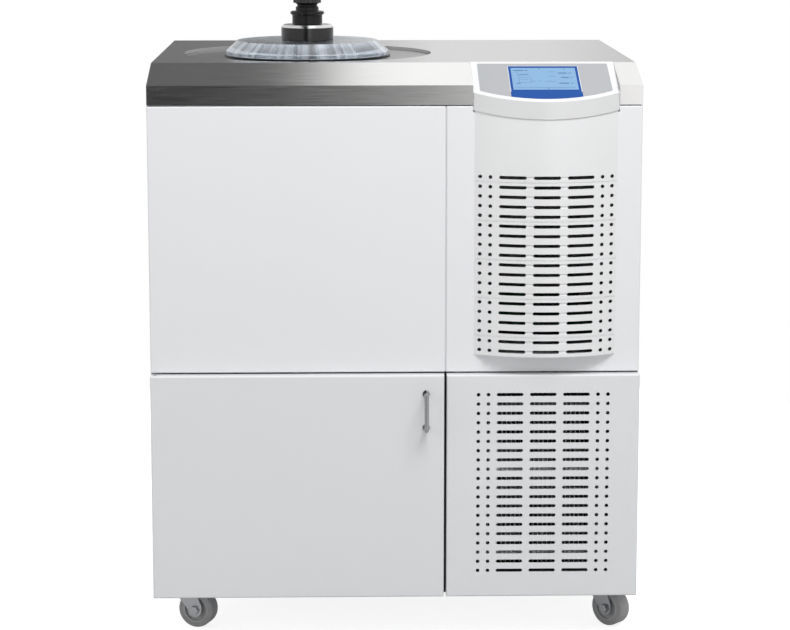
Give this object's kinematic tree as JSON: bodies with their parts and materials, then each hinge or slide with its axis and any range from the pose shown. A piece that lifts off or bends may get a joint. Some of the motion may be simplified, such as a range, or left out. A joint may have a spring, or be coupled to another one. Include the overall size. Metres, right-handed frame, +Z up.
{
  "type": "freeze dryer",
  "caption": "Floor-standing laboratory freeze dryer: ice chamber under a clear lid in a steel worktop, louvred console with tilted display, pump compartment door and casters",
  "frame": {"origin": "on the floor, under the middle of the whole object's box", "axes": "+X to the user's right as they face the console, +Y from the front panels to the rear panel, +Z up"},
  "size_m": [0.78, 0.738, 1.0276],
  "materials": {
    "cabinet_white": "fine smooth powder coat, satin white with a cool tint",
    "door_white": "the same powder coat, on the door",
    "console_white": "moulded plastic, finely grained, white",
    "overlay_grey": "printed membrane, light grey",
    "screen_blue": "flat colour display behind a clear window, light blue in a dark blue frame",
    "brushed_steel": "stainless sheet brushed across the width",
    "zinc_sheet": "galvanised sheet, dull",
    "coil_steel": "drawn stainless tube",
    "foam": "rigid insulating foam, cut surface",
    "seal_rubber": "black elastomer, slightly glossy",
    "clear_acrylic": "clear cast acrylic, polished",
    "polished_port": "turned and polished stainless steel",
    "black_plastic": "black moulded plastic",
    "compressor_black": "black enamel",
    "fin_aluminium": "bright fins",
    "shroud_grey": "dark grey paint",
    "copper_brass": "copper tube and brass fittings",
    "pump_paint": "blue-grey machine enamel",
    "motor_grey": "grey enamel on cast metal",
    "hose_grey": "grey hose",
    "lever_red": "red dipped lever",
    "board_green": "solder-masked board with parts",
    "rocker_black": "black rocker",
    "handle_steel": "polished stainless rod",
    "caster_zinc": "bright zinc-plated pressed steel",
    "hub_grey": "grey moulded hub",
    "tyre_grey": "grey non-marking rubber"
  },
  "bodies": {
    "cabinet": {"base_tray": "zinc_sheet", "left_side_panel": "cabinet_white", "right_side_panel": "cabinet_white", "rear_panel": "cabinet_white", "mid_deck": "zinc_sheet", "partition_wall": "zinc_sheet", "upper_front_panel": "cabinet_white", "console_panel": "cabinet_white", "console_cover": "console_white", "display_head": "console_white", "display_overlay": "overlay_grey", "display_screen": "screen_blue", "grille_panel": "cabinet_white", "worktop": "brushed_steel", "vessel_rails": "zinc_sheet", "condenser_vessel": "brushed_steel", "condenser_coil": "coil_steel", "vessel_insulation": "foam", "lid_seal": "seal_rubber", "acrylic_lid": "clear_acrylic", "lid_port": "polished_port", "valve_body": "seal_rubber", "front_compressor": "compressor_black", "rear_compressor": "compressor_black", "finned_condenser": "fin_aluminium", "fan_shroud": "shroud_grey", "fan_motor": "compressor_black", "filter_drier": "copper_brass", "refrigerant_lines": "copper_brass", "vacuum_pump": "pump_paint", "pump_motor": "motor_grey", "exhaust_filter": "coil_steel", "vacuum_line": "coil_steel", "drain_pipe": "hose_grey", "drain_valve": "copper_brass", "control_tray": "zinc_sheet", "control_board": "board_green", "power_inlet": "black_plastic", "door_hinges": "zinc_sheet", "door_catch": "black_plastic", "caster_plates": "caster_zinc"},
    "valve_knob": {"valve_knob": "black_plastic"},
    "fan_rotor": {"fan_rotor": "fin_aluminium"},
    "ballast_knob": {"ballast_knob": "black_plastic"},
    "drain_lever": {"drain_lever": "lever_red"},
    "mains_rocker": {"mains_rocker": "rocker_black"},
    "door": {"door": "door_white", "door_handle": "handle_steel"},
    "fork_front_left": {"fork_front_left": "caster_zinc"},
    "wheel_front_left": {"wheel_front_left": "hub_grey", "tyre_front_left": "tyre_grey"},
    "fork_front_right": {"fork_front_right": "caster_zinc"},
    "wheel_front_right": {"wheel_front_right": "hub_grey", "tyre_front_right": "tyre_grey"},
    "fork_rear_left": {"fork_rear_left": "caster_zinc"},
    "wheel_rear_left": {"wheel_rear_left": "hub_grey", "tyre_rear_left": "tyre_grey"},
    "fork_rear_right": {"fork_rear_right": "caster_zinc"},
    "wheel_rear_right": {"wheel_rear_right": "hub_grey", "tyre_rear_right": "tyre_grey"}
  },
  "joints": [
    {"name": "door_hinge", "type": "hinge", "parent": "cabinet", "child": "door", "pos_m": [-0.382, -0.327, 0.255], "axis": [0, 0, -1], "range_deg": [0, 105]},
    {"name": "valve_turn", "type": "hinge", "parent": "cabinet", "child": "valve_knob", "pos_m": [-0.142, 0.014, 1.015], "axis": [0, 0, 1], "range_deg": [0, 180]},
    {"name": "fan_spin", "type": "hinge", "parent": "cabinet", "child": "fan_rotor", "pos_m": [0.236, -0.229, 0.25], "axis": [0, 1, 0], "continuous": true},
    {"name": "ballast_turn", "type": "hinge", "parent": "cabinet", "child": "ballast_knob", "pos_m": [-0.165, -0.121, 0.285], "axis": [0, 0, 1], "range_deg": [0, 120]},
    {"name": "drain_turn", "type": "hinge", "parent": "cabinet", "child": "drain_lever", "pos_m": [-0.142, 0.346, 0.517], "axis": [0, 0, 1], "range_deg": [0, 90]},
    {"name": "rocker_tip", "type": "hinge", "parent": "cabinet", "child": "mains_rocker", "pos_m": [0.3, 0.329, 0.208], "axis": [-1, 0, 0], "range_deg": [0, 16]},
    {"name": "swivel_front_left", "type": "hinge", "parent": "cabinet", "child": "fork_front_left", "pos_m": [-0.343, -0.239, 0.068], "axis": [0, 0, 1], "continuous": true},
    {"name": "roll_front_left", "type": "hinge", "parent": "fork_front_left", "child": "wheel_front_left", "pos_m": [-0.32327, -0.24618, 0.03], "axis": [0.342, 0.9397, 0], "continuous": true},
    {"name": "swivel_front_right", "type": "hinge", "parent": "cabinet", "child": "fork_front_right", "pos_m": [0.343, -0.239, 0.068], "axis": [0, 0, 1], "continuous": true},
    {"name": "roll_front_right", "type": "hinge", "parent": "fork_front_right", "child": "wheel_front_right", "pos_m": [0.35811, -0.25359, 0.03], "axis": [0.6947, 0.7193, 0], "continuous": true},
    {"name": "swivel_rear_left", "type": "hinge", "parent": "cabinet", "child": "fork_rear_left", "pos_m": [-0.343, 0.254, 0.068], "axis": [0, 0, 1], "continuous": true},
    {"name": "roll_rear_left", "type": "hinge", "parent": "fork_rear_left", "child": "wheel_rear_left", "pos_m": [-0.32519, 0.24287, 0.03], "axis": [0.5299, 0.848, 0], "continuous": true},
    {"name": "swivel_rear_right", "type": "hinge", "parent": "cabinet", "child": "fork_rear_right", "pos_m": [0.343, 0.254, 0.068], "axis": [0, 0, 1], "continuous": true},
    {"name": "roll_rear_right", "type": "hinge", "parent": "fork_rear_right", "child": "wheel_rear_right", "pos_m": [0.32519, 0.24287, 0.03], "axis": [0.5299, -0.848, 0], "continuous": true}
  ]
}
